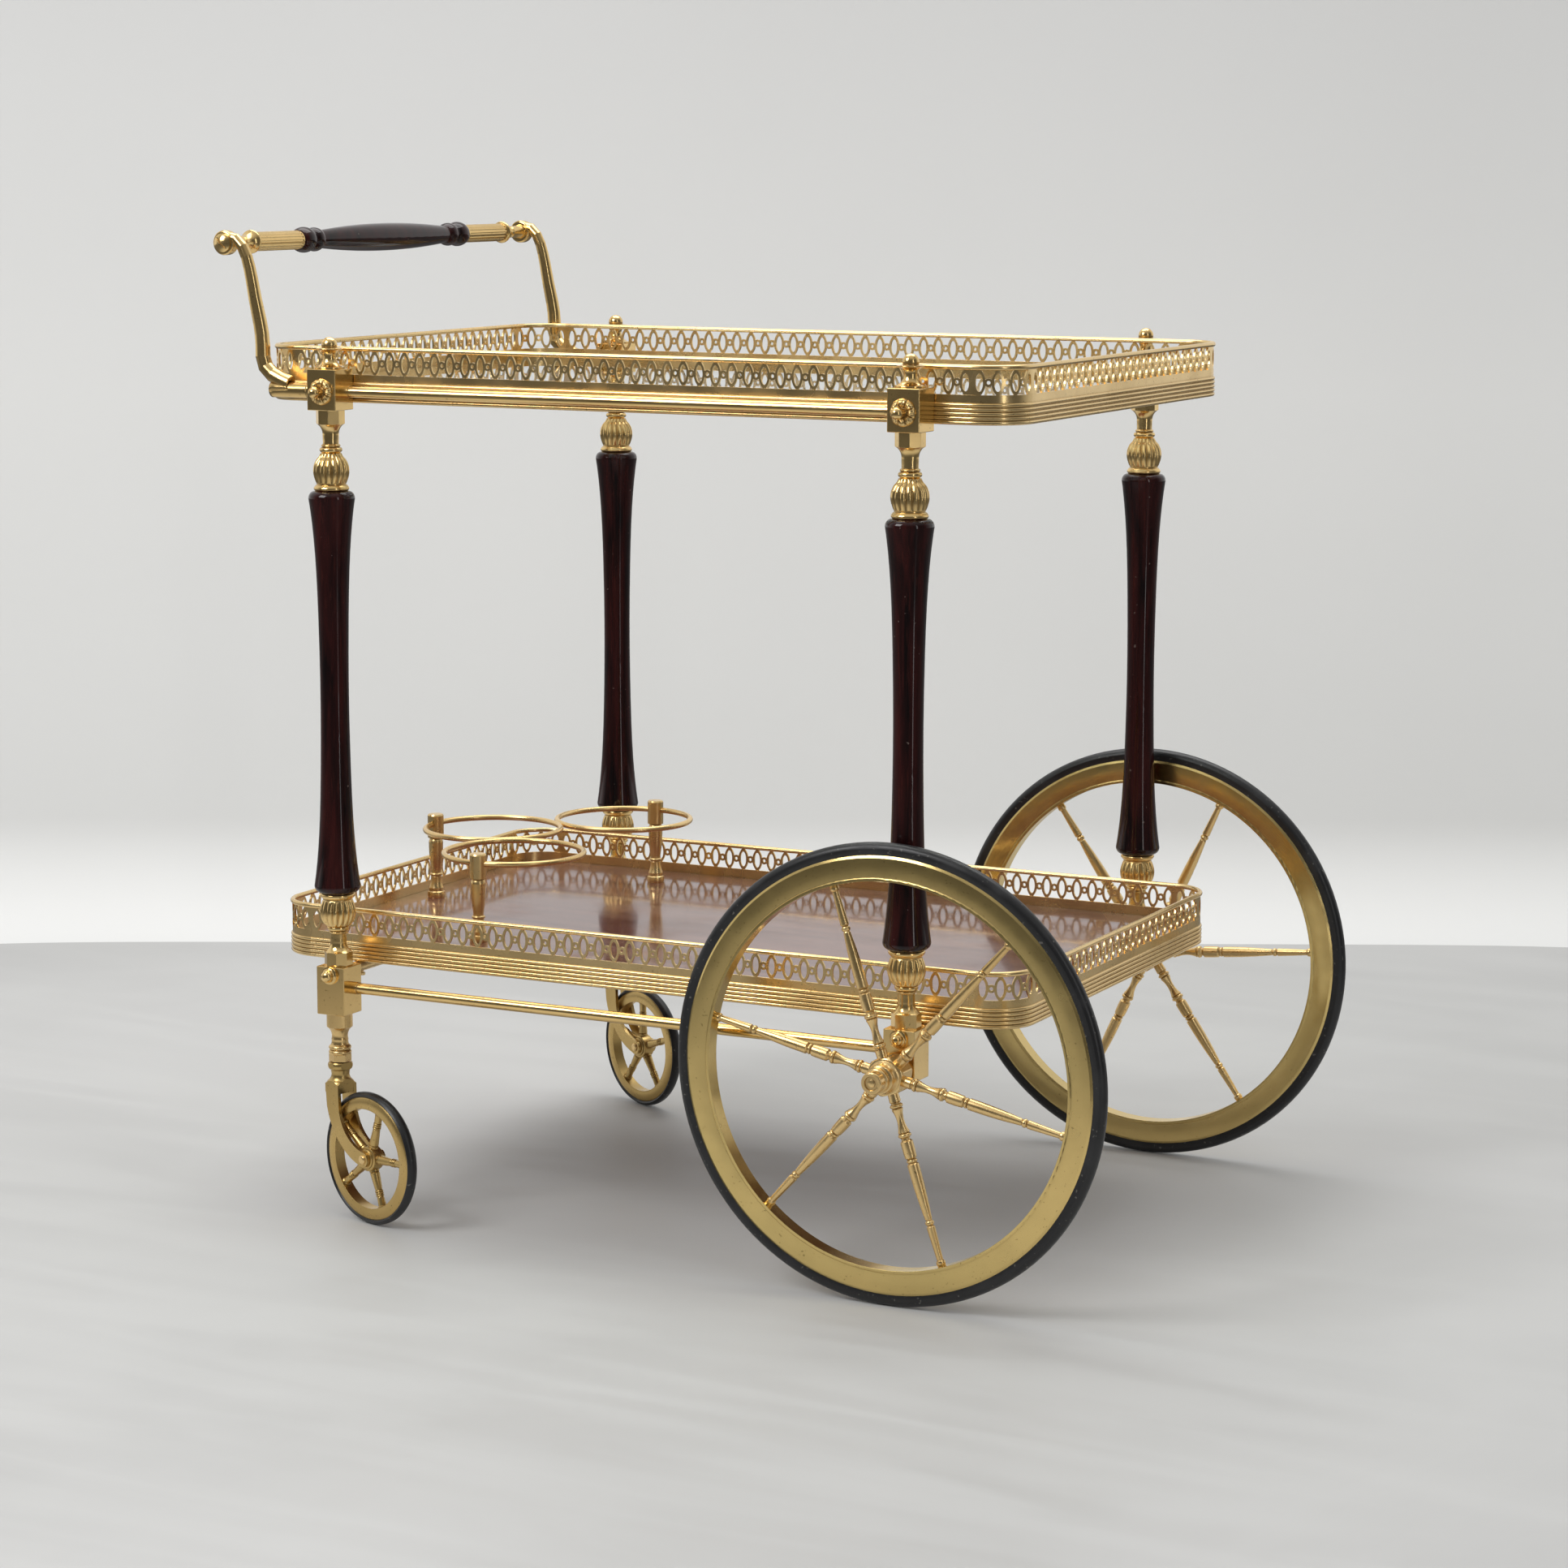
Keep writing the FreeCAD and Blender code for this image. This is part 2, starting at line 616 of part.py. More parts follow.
def gallery(tray):
    """The whole pierced gallery of one tray."""
    length, width, bottom = tray
    half_x = length / 2 - TRAY_CORNER_R
    half_y = width / 2 - TRAY_CORNER_R
    outer = TRAY_CORNER_R - RIB_HEIGHT
    corner = corner_gallery()
    pieces = []
    for quarter in range(4):
        run_half, out = ((half_x, half_y), (half_y, half_x))[quarter % 2]
        straight = at(straight_gallery(2 * run_half), -run_half, -out - outer)
        bend = at(corner.rotated(V(0, 0, 0), V(0, 0, 1), -90), run_half, -out)
        for piece in (straight, bend):
            pieces.append(piece.rotated(V(0, 0, 0), V(0, 0, 1), 90 * quarter))
    return at(pieces[0].fuse(pieces[1:]), TRAY_CENTRE_X, 0, bottom + BAND_HEIGHT)


def shelf(tray, thickness):
    """Flat pane or panel with rounded corners that lies on the ledge."""
    length, width, bottom = tray
    inset = RIB_HEIGHT + BAND_WALL + PANEL_GAP
    radius = TRAY_CORNER_R - inset
    size_x = length - 2 * inset
    size_y = width - 2 * inset
    low = bottom + FLOOR_HEIGHT - thickness
    box = Part.makeBox(size_x, size_y, thickness,
                       V(TRAY_CENTRE_X - size_x / 2, -size_y / 2, low))
    upright = [edge for edge in box.Edges if abs(edge.tangentAt(edge.FirstParameter).z) > 0.9]
    return box.makeFillet(radius, upright)


def build_upper_tray():
    ledge_z = FLOOR_HEIGHT - GLASS_THICKNESS
    frame = ring_from_section(band_section(ledge_z), UPPER_TRAY)
    half = UPPER_TRAY[1] / 2
    head_face = half - RIB_HEIGHT - BAND_WALL
    holes = []
    screws = []
    for x, y in CORNERS.values():
        out = V(0, math.copysign(1, y), 0)
        seat = V(x, 0, tray_screw_z()) + out * head_face
        holes.append(cylinder(SCREW_R + FIT_GAP, seat - out * 2, seat + out * 6))
        head = cylinder(SCREW_HEAD_R, seat - out * 2.2, seat)
        screws.append(fused([head, cylinder(SCREW_R, seat, seat + out * 10)]))
    save("upper_tray_frame", frame.cut(holes))
    save("upper_gallery", gallery(UPPER_TRAY))
    save("upper_gallery_rail", gallery_rail(UPPER_TRAY))
    save("upper_glass", shelf(UPPER_TRAY, GLASS_THICKNESS))
    return screws


def build_lower_tray():
    ledge_z = FLOOR_HEIGHT - PANEL_THICKNESS
    frame = ring_from_section(band_section(ledge_z), LOWER_TRAY)
    ledge_top = LOWER_TRAY[2] + ledge_z
    head_z = crossbar_z() - CROSSBAR_R - 1.0
    holes = []
    screws = []
    for x in (REAR_X, FRONT_X):
        for side in SIDES.values():
            foot = V(x, side * lower_screw_y(), head_z)
            top = V(foot.x, foot.y, ledge_top)
            holes.append(cylinder(SCREW_R + FIT_GAP, foot, top + V(0, 0, 1)))
            head = cylinder(SCREW_HEAD_R, foot - V(0, 0, 2), foot)
            screws.append(fused([head, cylinder(SCREW_R, foot, top)]))
    save("lower_tray_frame", frame.cut(holes))
    save("lower_gallery", gallery(LOWER_TRAY))
    save("lower_gallery_rail", gallery_rail(LOWER_TRAY))
    save("lower_panel", shelf(LOWER_TRAY, PANEL_THICKNESS))
    return screws


def bottle_post():
    """Turned post standing on z = 0, slotted below its top for the ring."""
    return turned([
        (7.3, 0), (7.3, 5.5, 0.4), (6.4, 6.2), (6.4, 9.0), (4.7, 19.0, -0.5), (4.4, 19.5),
        (4.4, 22.3, 1.2), (4.4, 24.4), (6.2, 48.0, 0.5), (5.2, 52.5, 0.4), (7.0, 53.5),
        (7.0, 73.0), (6.2, 74.3),
    ])


def build_bottle_holder():
    floor_z = LOWER_TRAY[2] + FLOOR_HEIGHT
    clearance = []
    for name, (x, y) in BOTTLE_RINGS.items():
        place = V(x, y, BOTTLE_RING_Z)
        ring = Part.makeTorus(BOTTLE_RING_R, RING_WIRE_R, place)
        save("bottle_ring_" + name, ring)
        clearance.append(Part.makeTorus(BOTTLE_RING_R, RING_WIRE_R + FIT_GAP, place))
    posts = [at(bottle_post(), x, y, floor_z).cut(clearance) for x, y in BOTTLE_POSTS]
    save("bottle_ring_posts", *posts)


# ---------------------------------------------------------------- handle

def arm_spine():
    """Centreline of a handle arm in the XZ plane, from the eye to the block."""
    block_x = REAR_X - UPPER_BLOCK_SIDE / 2
    points = [
        V(GRIP_X + 1, 0, GRIP_Z + 5.4), V(GRIP_X + 12, 0, GRIP_Z + 1.6),
        V(GRIP_X + 21.5, 0, GRIP_Z - 16), V(GRIP_X + 28, 0, GRIP_Z - 47),
        V(GRIP_X + 34, 0, GRIP_Z - 81), V(GRIP_X + 44.5, 0, GRIP_Z - 106),
        V(GRIP_X + 62, 0, UPPER_RAIL_Z + 1.2), V(block_x, 0, UPPER_RAIL_Z),
    ]
    curve = Part.BSplineCurve()
    curve.interpolate(points, InitialTangent=V(1, 0, 0.2), FinalTangent=V(1, 0, 0))
    return curve


def handle_arm(side):
    """Bent brass arm, thickest at its lower bend, with an eye for the grip rod."""
    curve = arm_spine()
    sideways = V(0, 1, 0)
    sections = []
    for index, centre in enumerate(curve.discretize(Number=ARM_STATIONS)):
        share = index / (ARM_STATIONS - 1)
        radius = ARM_END_R + (ARM_BEND_R - ARM_END_R) * math.sin(math.pi * min(share, 0.8) / 1.6)
        along = curve.tangent(curve.parameter(centre))[0]
        section = Part.Wire(Part.makeCircle(radius))
        turn = FreeCAD.Rotation(sideways, along.cross(sideways), along)
        section.Placement = FreeCAD.Placement(centre, turn)
        sections.append(section)
    arm = Part.makeLoft(sections, True, True)
    eye = turned([(8.4, -EYE_THICKNESS / 2), (EYE_R, 1.6 - EYE_THICKNESS / 2, 0.4),
                  (EYE_R, EYE_THICKNESS / 2 - 1.6), (8.4, EYE_THICKNESS / 2, 0.4)])
    eye = at(facing_y(eye, 1), GRIP_X, 0, GRIP_Z)
    block_x = REAR_X - UPPER_BLOCK_SIDE / 2
    collar = turned([(7.2, 0), (7.6, 1.2, 0.1), (7.6, 4.4), (6.6, 6.4, 0.3)])
    stud = Part.makeCylinder(STUD_R, STUD_DEPTH, V(0, 0, -STUD_DEPTH))
    collar = at(facing_x(fused([collar, stud]), -1), block_x, 0, UPPER_RAIL_Z)
    solid = fused([arm, eye, collar])
    reach = V(0, EYE_THICKNESS, 0)
    centre = V(GRIP_X, 0, GRIP_Z)
    bore = cylinder(GRIP_ROD_R + FIT_GAP, centre - reach, centre + reach)
    return at(solid.cut(bore), 0, side * POST_Y)


def grip():
    """Turned wooden grip with two beads at each end, along Z, centred."""
    swell = GRIP_R - GRIP_END_R
    return turned([
        (7.6, -GRIP_HALF), (8.6, -131.0), (8.6, -114.5, 2.2), (8.2, -113.0), (8.2, -101.0, 1.9),
        (GRIP_END_R, -100.0), (GRIP_END_R, 100.0, swell), (8.2, 101.0), (8.2, 113.0, 1.9),
        (8.6, 114.5), (8.6, 131.0, 2.2), (7.6, GRIP_HALF),
    ], GRIP_ROD_R + FIT_GAP)


def ferrule():
    """Reeded brass sleeve and flared end cone, along +Z from the grip's end."""
    start = GRIP_HALF
    sleeve_end = 198.0
    eye_face = POST_Y - EYE_THICKNESS / 2
    body = turned([
        (7.9, start), (7.9, sleeve_end), (9.2, sleeve_end + 0.8), (9.2, sleeve_end + 3.4, 0.5),
        (5.2, sleeve_end + 17, -2.4), (5.8, eye_face - 4, -0.3), (6.6, eye_face),
    ], GRIP_ROD_R + FIT_GAP)
    count = 18
    grooves = []
    for k in range(count):
        angle = 2 * math.pi * k / count
        foot = V(8.5 * math.cos(angle), 8.5 * math.sin(angle), start + 1.5)
        grooves.append(cylinder(1.05, foot, foot + V(0, 0, sleeve_end - start - 3)))
    return body.cut(grooves)


def end_screw():
    """Slotted round-head screw, head standing on z = 0."""
    head = turned([(7.6, 0), (7.6, 1.0), (0, 4.0, dome_bow(7.6, 3.0))])
    slot = Part.makeBox(20, 1.3, 3, V(-10, -0.65, 2.0))
    shank = Part.makeCylinder(2.2, 10, V(0, 0, -10))
    return fused([head.cut(slot), shank])


def build_handle():
    for name, side in SIDES.items():
        save("handle_arm_" + name, handle_arm(side))
    save("handle_grip", at(facing_y(grip(), 1), GRIP_X, 0, GRIP_Z))
    outer_face = POST_Y + EYE_THICKNESS / 2
    rod = cylinder(GRIP_ROD_R, V(0, 0, -outer_face), V(0, 0, outer_face))
    ferrules = []
    screws = []
    for side in SIDES.values():
        ferrules.append(at(facing_y(ferrule(), side), GRIP_X, 0, GRIP_Z))
        tapped = cylinder(2.2 + FIT_GAP, V(0, 0, side * outer_face), V(0, 0, side * (outer_face - 11)))
        rod = rod.cut(tapped)
        tilted = end_screw().rotated(V(0, 0, 0), V(0, 0, 1), side * 45)
        screws.append(at(facing_y(tilted, side), GRIP_X, side * outer_face, GRIP_Z))
    save("handle_rod", at(facing_y(rod, 1), GRIP_X, 0, GRIP_Z))
    save("handle_ferrules", *ferrules)
    save("handle_end_screws", *screws)


# ---------------------------------------------------------------- large wheels

def large_spoke():
    """Turned spoke along +Z, measured from the wheel's axis."""
    return turned([
        (4.2, HUB_FLAT_R), (4.5, 20.5), (3.6, 21.2), (3.6, 22.2), (3.6, 25.4, 1.5), (4.5, 26.4),
        (4.7, 44.6, -1.8), (3.9, 45.4), (3.9, 48.6, 1.3), (3.3, 49.4), (3.5, 50.6), (4.8, 52.0),
        (4.6, 64.6, 0.2), (3.2, 66.0), (3.2, 68.6, 1.0), (4.6, 70.0), (2.8, 113.4, 0.5),
        (2.3, 114.4), (2.3, 118.4, 1.2), (3.4, 119.6), (2.5, 145.8), (3.4, 146.6),
        (3.4, 149.4, 0.3), (3.0, RIM_INNER_R + 1.0),
    ])


def large_hub():
    """Hexagonal hub about Z, +Z outboard, bored for the stub axle."""
    inner_boss = turned([(9.0, -18.4), (10.2, -17.4), (10.2, -13.0)])
    body = prism(SPOKE_COUNT, HUB_FLAT_R, -13.0, 7.0)
    rounding = turned([(13.6, -13.0), (15.9, -10.4, 0.6), (15.9, 4.4), (13.4, 7.0, 0.6)])
    nose = turned([(13.0, 7.0), (10.6, 12.6, -0.8), (10.9, 13.2), (10.9, 15.8, 0.3),
                   (9.6, 16.4), (9.6, HUB_END)])
    solid = fused([inner_boss, body.common(rounding), nose])
    return solid.cut(Part.makeCylinder(AXLE_R + RUN_GAP, 60, V(0, 0, -30)))


def hub_cap():
    """Stepped cap with a riveted centre, about Z, +Z outboard."""
    body = turned([
        (9.2, HUB_END), (9.4, HUB_END + 1.0), (9.4, HUB_END + 2.8, 0.2), (8.4, HUB_END + 3.6),
        (8.6, HUB_END + 4.4), (8.6, HUB_END + 10.6), (7.6, HUB_END + 12.0, 0.3),
        (5.6, HUB_END + 12.0), (5.2, HUB_END + 10.8), (3.0, HUB_END + 10.8),
        (3.0, HUB_END + 11.3), (0, HUB_END + 11.9, dome_bow(3.0, 0.6)),
    ])
    recess = Part.makeCylinder(AXLE_R + 0.4, AXLE_OUTER_END - HUB_END + 1, V(0, 0, HUB_END))
    return body.cut(recess)


def large_rim():
    """Flat-faced brass rim with a rolled inner lip, about Z."""
    return turned([
        (152.4, -6.6), (153.6, -6.0, 0.2), (168.6, -6.2, 0.3), (RIM_OUTER_R, -5.0),
        (RIM_OUTER_R, 5.0), (168.6, 6.2), (153.6, 6.0, 0.3), (152.4, 6.6, 0.2),
    ], RIM_INNER_R)


def large_tyre():
    """Solid rubber tyre with a rounded tread, about Z."""
    return turned([
        (RIM_OUTER_R, -5.0), (175.4, -5.6, 0.2), (175.4, 5.6, WHEEL_R - 175.4),
        (RIM_OUTER_R, 5.0, 0.2),
    ], RIM_OUTER_R)


def build_large_wheel(name, side):
    def placed(shape):
        return at(facing_y(shape, side), FRONT_X, side * WHEEL_Y, WHEEL_R)

    inside_rim = Part.makeCylinder(RIM_INNER_R, 40, V(0, 0, -20))
    spokes = []
    for k in range(SPOKE_COUNT):
        angle = FIRST_SPOKE_ANGLE[name] + 360.0 * k / SPOKE_COUNT
        upright = large_spoke().rotated(V(0, 0, 0), V(0, 1, 0), 90)
        spoke = upright.rotated(V(0, 0, 0), V(0, 0, 1), side * -angle)
        spokes.append(placed(spoke.common(inside_rim)))
    hub_turn = side * -FIRST_SPOKE_ANGLE[name]
    save("large_tyre_" + name, placed(large_tyre()))
    save("large_rim_" + name, placed(large_rim()))
    save("large_spokes_" + name, *spokes)
    save("large_hub_" + name, placed(large_hub().rotated(V(0, 0, 0), V(0, 0, 1), hub_turn)))
    save("hub_cap_" + name, placed(hub_cap()))


def stub_axle(side):
    """Axle that is held in the front lower block and carries one large wheel."""
    inner = POST_Y + LOWER_BLOCK_SIDE / 2 - AXLE_DEPTH
    outer = WHEEL_Y + AXLE_OUTER_END
    start = V(FRONT_X, side * inner, WHEEL_R)
    return cylinder(AXLE_R, start, V(FRONT_X, side * outer, WHEEL_R))


def build_large_wheels():
    for name, side in SIDES.items():
        build_large_wheel(name, side)
    save("stub_axles", *[stub_axle(side) for side in SIDES.values()])


# ---------------------------------------------------------------- casters

def caster_neck():
    """Turned socket under a rear block that holds the caster's stem."""
    bottom = CASTER_NECK_BOTTOM
    body = turned([
        (8.6, bottom), (8.6, bottom + 3.2, 0.8), (8.0, bottom + 3.6), (8.6, bottom + 4.0),
        (8.6, bottom + 7.0, 0.7), (7.4, bottom + 8.0), (7.0, bottom + 12.4, -0.3),
        (10.7, bottom + 23.0, -1.8), (10.7, LOWER_BLOCK_BOTTOM), (SPIGOT_R, LOWER_BLOCK_BOTTOM),
        (SPIGOT_R, LOWER_BLOCK_BOTTOM + 9.0),
    ])
    return body.cut(Part.makeCylinder(STEM_R + RUN_GAP, STEM_TOP + 1 - bottom, V(0, 0, bottom)))


def caster_nut():
    """Hexagonal lock nut around the caster's stem."""
    nut = prism(6, 8.0, CASTER_NUT_BOTTOM, CASTER_NECK_BOTTOM)
    return nut.cut(Part.makeCylinder(STEM_R + RUN_GAP, 20, V(0, 0, CASTER_NUT_BOTTOM - 5)))


def fork_arm():
    """Flat arm in the XZ plane that narrows and curves forward to the axle."""
    axle = V(CASTER_TRAIL, 0, CASTER_R)

    def on_end(degrees):
        angle = math.radians(degrees)
        return axle + V(math.cos(angle), 0, math.sin(angle)) * FORK_END_R

    back_top = V(FORK_BACK, 0, FORK_TOP)
    back_low = V(FORK_BACK + 1.7, 0, 94.0)
    front_top = V(FORK_FRONT, 0, FORK_TOP)
    front_low = V(FORK_FRONT + 0.8, 0, 92.0)
    edges = [
        Part.makeLine(back_top, back_low),
        Part.Arc(back_low, V(7.0, 0, 67.5), on_end(240)).toShape(),
        Part.Arc(on_end(240), on_end(-28), on_end(65)).toShape(),
        Part.Arc(on_end(65), V(19.5, 0, 71.5), front_low).toShape(),
        Part.makeLine(front_low, front_top),
        Part.makeLine(front_top, back_top),
    ]
    return Part.Face(Part.Wire(edges)).extrude(V(0, FORK_ARM_THICKNESS, 0))


def caster_fork():
    """Two-armed fork with a turned head and stem, about the swivel axis."""
    outer = FORK_INNER_HALF + FORK_ARM_THICKNESS
    corner_r = math.hypot(FORK_FRONT, outer)
    arms = [at(fork_arm(), 0, FORK_INNER_HALF), at(fork_arm(), 0, -outer)]
    width = FORK_FRONT - FORK_BACK
    column = Part.makeBox(width, 2 * outer, 30.0, V(FORK_BACK, -outer, FORK_TOP - FORK_BRIDGE))
    head = turned([
        (corner_r, FORK_TOP - FORK_BRIDGE), (corner_r, FORK_TOP), (10.6, FORK_TOP + 2.4, -0.3),
        (7.6, 121.4, -1.2), (8.0, 123.6), (9.4, 124.6), (9.4, 130.2, 0.9), (STEM_R, 130.4),
        (STEM_R, STEM_TOP),
    ])
    stem = Part.makeCylinder(STEM_R, STEM_TOP - FORK_TOP, V(0, 0, FORK_TOP))
    solid = fused(arms + [head.common(column), stem])
    return solid.cut(cylinder(CASTER_AXLE_R + FIT_GAP, V(CASTER_TRAIL, -20, CASTER_R),
                              V(CASTER_TRAIL, 20, CASTER_R)))


def caster_axle():
    """Riveted pin through the fork and the wheel."""
    outer = FORK_INNER_HALF + FORK_ARM_THICKNESS
    head = [(3.8, outer), (3.6, outer + 0.8, 0.1), (2.2, outer + 1.5, 0.1)]
    foot = [(2.2, -outer - 1.5), (3.6, -outer - 0.8, 0.1), (3.8, -outer, 0.1)]
    shank = [(CASTER_AXLE_R, -outer), (CASTER_AXLE_R, outer)]
    return at(facing_y(turned(foot + shank + head), 1), CASTER_TRAIL, 0, CASTER_R)


def caster_wheel(first_angle):
    """Brass wheel of one casting: rim, hub and turned spokes, about Z."""
    rim = turned([(42.4, -4.8), (50.0, -4.4, 0.5), (CASTER_RIM_OUTER_R, -3.8),
                  (CASTER_RIM_OUTER_R, 3.8), (50.0, 4.4), (42.4, 4.8, 0.5)], CASTER_RIM_INNER_R)
    hub = turned([(6.2, -6.6), (8.0, -6.2, 0.2), (8.0, -5.4, 0.2), (10.2, -4.8, 0.2),
                  (10.5, 0, 0.1), (10.2, 4.8, 0.1), (8.0, 5.4, 0.2), (8.0, 6.2, 0.2), (6.2, 6.6)])
    spoke = turned([(4.0, 8.0), (4.1, 11.6), (3.5, 12.0), (4.0, 12.8), (3.0, 26.6),
                    (2.7, 27.0), (2.7, 28.8, 0.8), (2.7, 30.6, 0.7), (2.7, 32.4, 0.7),
                    (3.0, 33.0), (3.3, 40.0), (3.9, 40.6), (3.9, 42.4)])
    parts = [rim, hub]
    for k in range(CASTER_SPOKE_COUNT):
        upright = spoke.rotated(V(0, 0, 0), V(0, 1, 0), 90)
        angle = -first_angle - 360.0 * k / CASTER_SPOKE_COUNT
        parts.append(upright.rotated(V(0, 0, 0), V(0, 0, 1), angle))
    bore = Part.makeCylinder(CASTER_AXLE_R + RUN_GAP, 40, V(0, 0, -20))
    return fused(parts).cut(bore)


def caster_tyre():
    """Rubber tyre of a caster wheel, about Z."""
    return turned([(CASTER_RIM_OUTER_R, -3.8), (52.6, -4.9, 0.2), (52.6, 4.9, CASTER_R - 52.6),
                   (CASTER_RIM_OUTER_R, 3.8, 0.2)], CASTER_RIM_OUTER_R)


def build_casters():
    save("caster_necks", *at_corners(caster_neck(), REAR_CORNERS))
    save("caster_lock_nuts", *at_corners(caster_nut(), REAR_CORNERS))
    for name, side in SIDES.items():
        def placed(shape):
            turned_shape = shape.rotated(V(0, 0, 0), V(0, 0, 1), CASTER_REST_ANGLE[name])
            return at(turned_shape, REAR_X, side * POST_Y)

        def on_axle(shape):
            return placed(at(facing_y(shape, 1), CASTER_TRAIL, 0, CASTER_R))

        save("caster_fork_" + name, placed(caster_fork()))
        save("caster_axle_" + name, placed(caster_axle()))
        save("caster_wheel_" + name, on_axle(caster_wheel(CASTER_SPOKE_ANGLE[name])))
        save("caster_tyre_" + name, on_axle(caster_tyre()))


# ---------------------------------------------------------------- build

os.makedirs("parts", exist_ok=True)
build_posts()
build_block_covers()
build_rails()
tray_screws = build_upper_tray() + build_lower_tray()
save("tray_screws", *tray_screws)
build_bottle_holder()
build_handle()
build_large_wheels()
build_casters()
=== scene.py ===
"""Looks of the serving trolley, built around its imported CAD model. Metres, +Z up."""
import json
import math
import bpy
from mathutils import Matrix, Vector


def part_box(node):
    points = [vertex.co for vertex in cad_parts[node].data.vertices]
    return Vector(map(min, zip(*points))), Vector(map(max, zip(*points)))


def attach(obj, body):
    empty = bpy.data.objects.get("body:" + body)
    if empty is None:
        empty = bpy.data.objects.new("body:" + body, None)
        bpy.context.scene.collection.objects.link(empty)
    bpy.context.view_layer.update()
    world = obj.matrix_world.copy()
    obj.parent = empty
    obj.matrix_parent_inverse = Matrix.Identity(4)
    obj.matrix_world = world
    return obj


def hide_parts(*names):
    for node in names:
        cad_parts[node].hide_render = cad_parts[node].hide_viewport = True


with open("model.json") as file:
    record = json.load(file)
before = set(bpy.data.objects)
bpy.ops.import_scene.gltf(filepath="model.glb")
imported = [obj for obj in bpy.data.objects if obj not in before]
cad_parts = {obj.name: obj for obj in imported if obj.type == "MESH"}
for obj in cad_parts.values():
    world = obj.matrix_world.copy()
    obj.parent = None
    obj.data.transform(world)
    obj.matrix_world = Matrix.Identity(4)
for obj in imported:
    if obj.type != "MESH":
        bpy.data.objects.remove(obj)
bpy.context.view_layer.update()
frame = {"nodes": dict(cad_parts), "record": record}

MM = 0.001

# The camera's place, and the directions that are right and up in its view.
CAMERA_AT = Vector((1.5032, -2.9849, 0.8835))
CAMERA_RIGHT = Vector((0.89275, 0.45055, 0.00228))
CAMERA_UP = Vector((-0.07300, 0.13965, 0.98751))
CAMERA_LENS = 92.883
SENSOR = 36.0
SCENE_CENTRE = Vector((0.0, 0.0, 0.4))

POST_PLACES = [(x, y) for x in (-0.2926, 0.2224) for y in (-0.236, 0.236)]
ROSETTE_Z = 0.682

# Brightness of the surroundings: for plain surfaces, and as polished ones see them.
# Polished ones see the far floor as dark beyond the second distance from the centre.
AMBIENT = 0.62
DARK_SIDE = 0.10
BACKDROP_GLOW = 0.75
CEILING_GLOW = 0.6
GLOW_REACH = (0.75, 1.5)


# ---------------------------------------------------------------- node materials

class Finish:
    """A node material on one Principled shader, textured in the row's frame."""

    def __init__(self, name):
        self.material = bpy.data.materials.new(name)
        self.material.use_nodes = True
        self.tree = self.material.node_tree
        self.shader = self.tree.nodes["Principled BSDF"]
        self.place = self.add("ShaderNodeTexCoord").outputs["Object"]

    def add(self, kind, inputs=None, **settings):
        node = self.tree.nodes.new(kind)
        for key, value in settings.items():
            setattr(node, key, value)
        for key, value in (inputs or {}).items():
            self.connect(value, node.inputs[key])
        return node

    def connect(self, value, socket):
        if isinstance(value, bpy.types.NodeSocket):
            self.tree.links.new(value, socket)
        else:
            socket.default_value = value

    def set(self, **values):
        for key, value in values.items():
            self.connect(value, self.shader.inputs[key.replace("_", " ")])

    def scaled(self, stretch):
        node = self.add("ShaderNodeMapping", {"Vector": self.place, "Scale": stretch})
        return node.outputs["Vector"]

    def noise(self, scale, detail=3.0, stretch=(1, 1, 1), distortion=0.0):
        node = self.add("ShaderNodeTexNoise", {
            "Vector": self.scaled(stretch), "Scale": scale, "Detail": detail,
            "Distortion": distortion,
        })
        return node.outputs["Fac"]

    def fit(self, value, low, high, to_low=0.0, to_high=1.0):
        """Map a value from one range to another, clamped."""
        node = self.add("ShaderNodeMapRange", {
            "Value": value, "From Min": low, "From Max": high,
            "To Min": to_low, "To Max": to_high,
        })
        return node.outputs["Result"]

    def math(self, operation, a, b=0.0):
        node = self.add("ShaderNodeMath", {0: a, 1: b}, operation=operation)
        return node.outputs[0]

    def blend(self, factor, first, second):
        """Colour mix; the colours are RGB triples or sockets."""
        node = self.add("ShaderNodeMix", data_type="RGBA")
        self.connect(factor, node.inputs["Factor"])
        for colour, key in ((first, "A_Color"), (second, "B_Color")):
            if isinstance(colour, tuple):
                colour = (*colour, 1.0)
            socket = next(s for s in node.inputs if s.identifier == key)
            self.connect(colour, socket)
        return next(s for s in node.outputs if s.identifier == "Result_Color")

    def relief(self, height, strength, distance, normal=None):
        inputs = {"Height": height, "Strength": strength, "Distance": distance}
        if normal is not None:
            inputs["Normal"] = normal
        return self.add("ShaderNodeBump", inputs).outputs["Normal"]

    def distance_from_centre(self):
        node = self.add("ShaderNodeVectorMath", {0: self.place}, operation="LENGTH")
        return node.outputs["Value"]

    def rounded(self, radius):
        """Normal that lets sharp edges catch the light."""
        node = self.add("ShaderNodeBevel", {"Radius": radius}, samples=2)
        return node.outputs["Normal"]

    def crevice(self, distance):
        """1 in the open, falling to 0 deep in a corner of the same piece."""
        node = self.add("ShaderNodeAmbientOcclusion", {"Distance": distance}, samples=2,
                        only_local=True)
        return node.outputs["AO"]


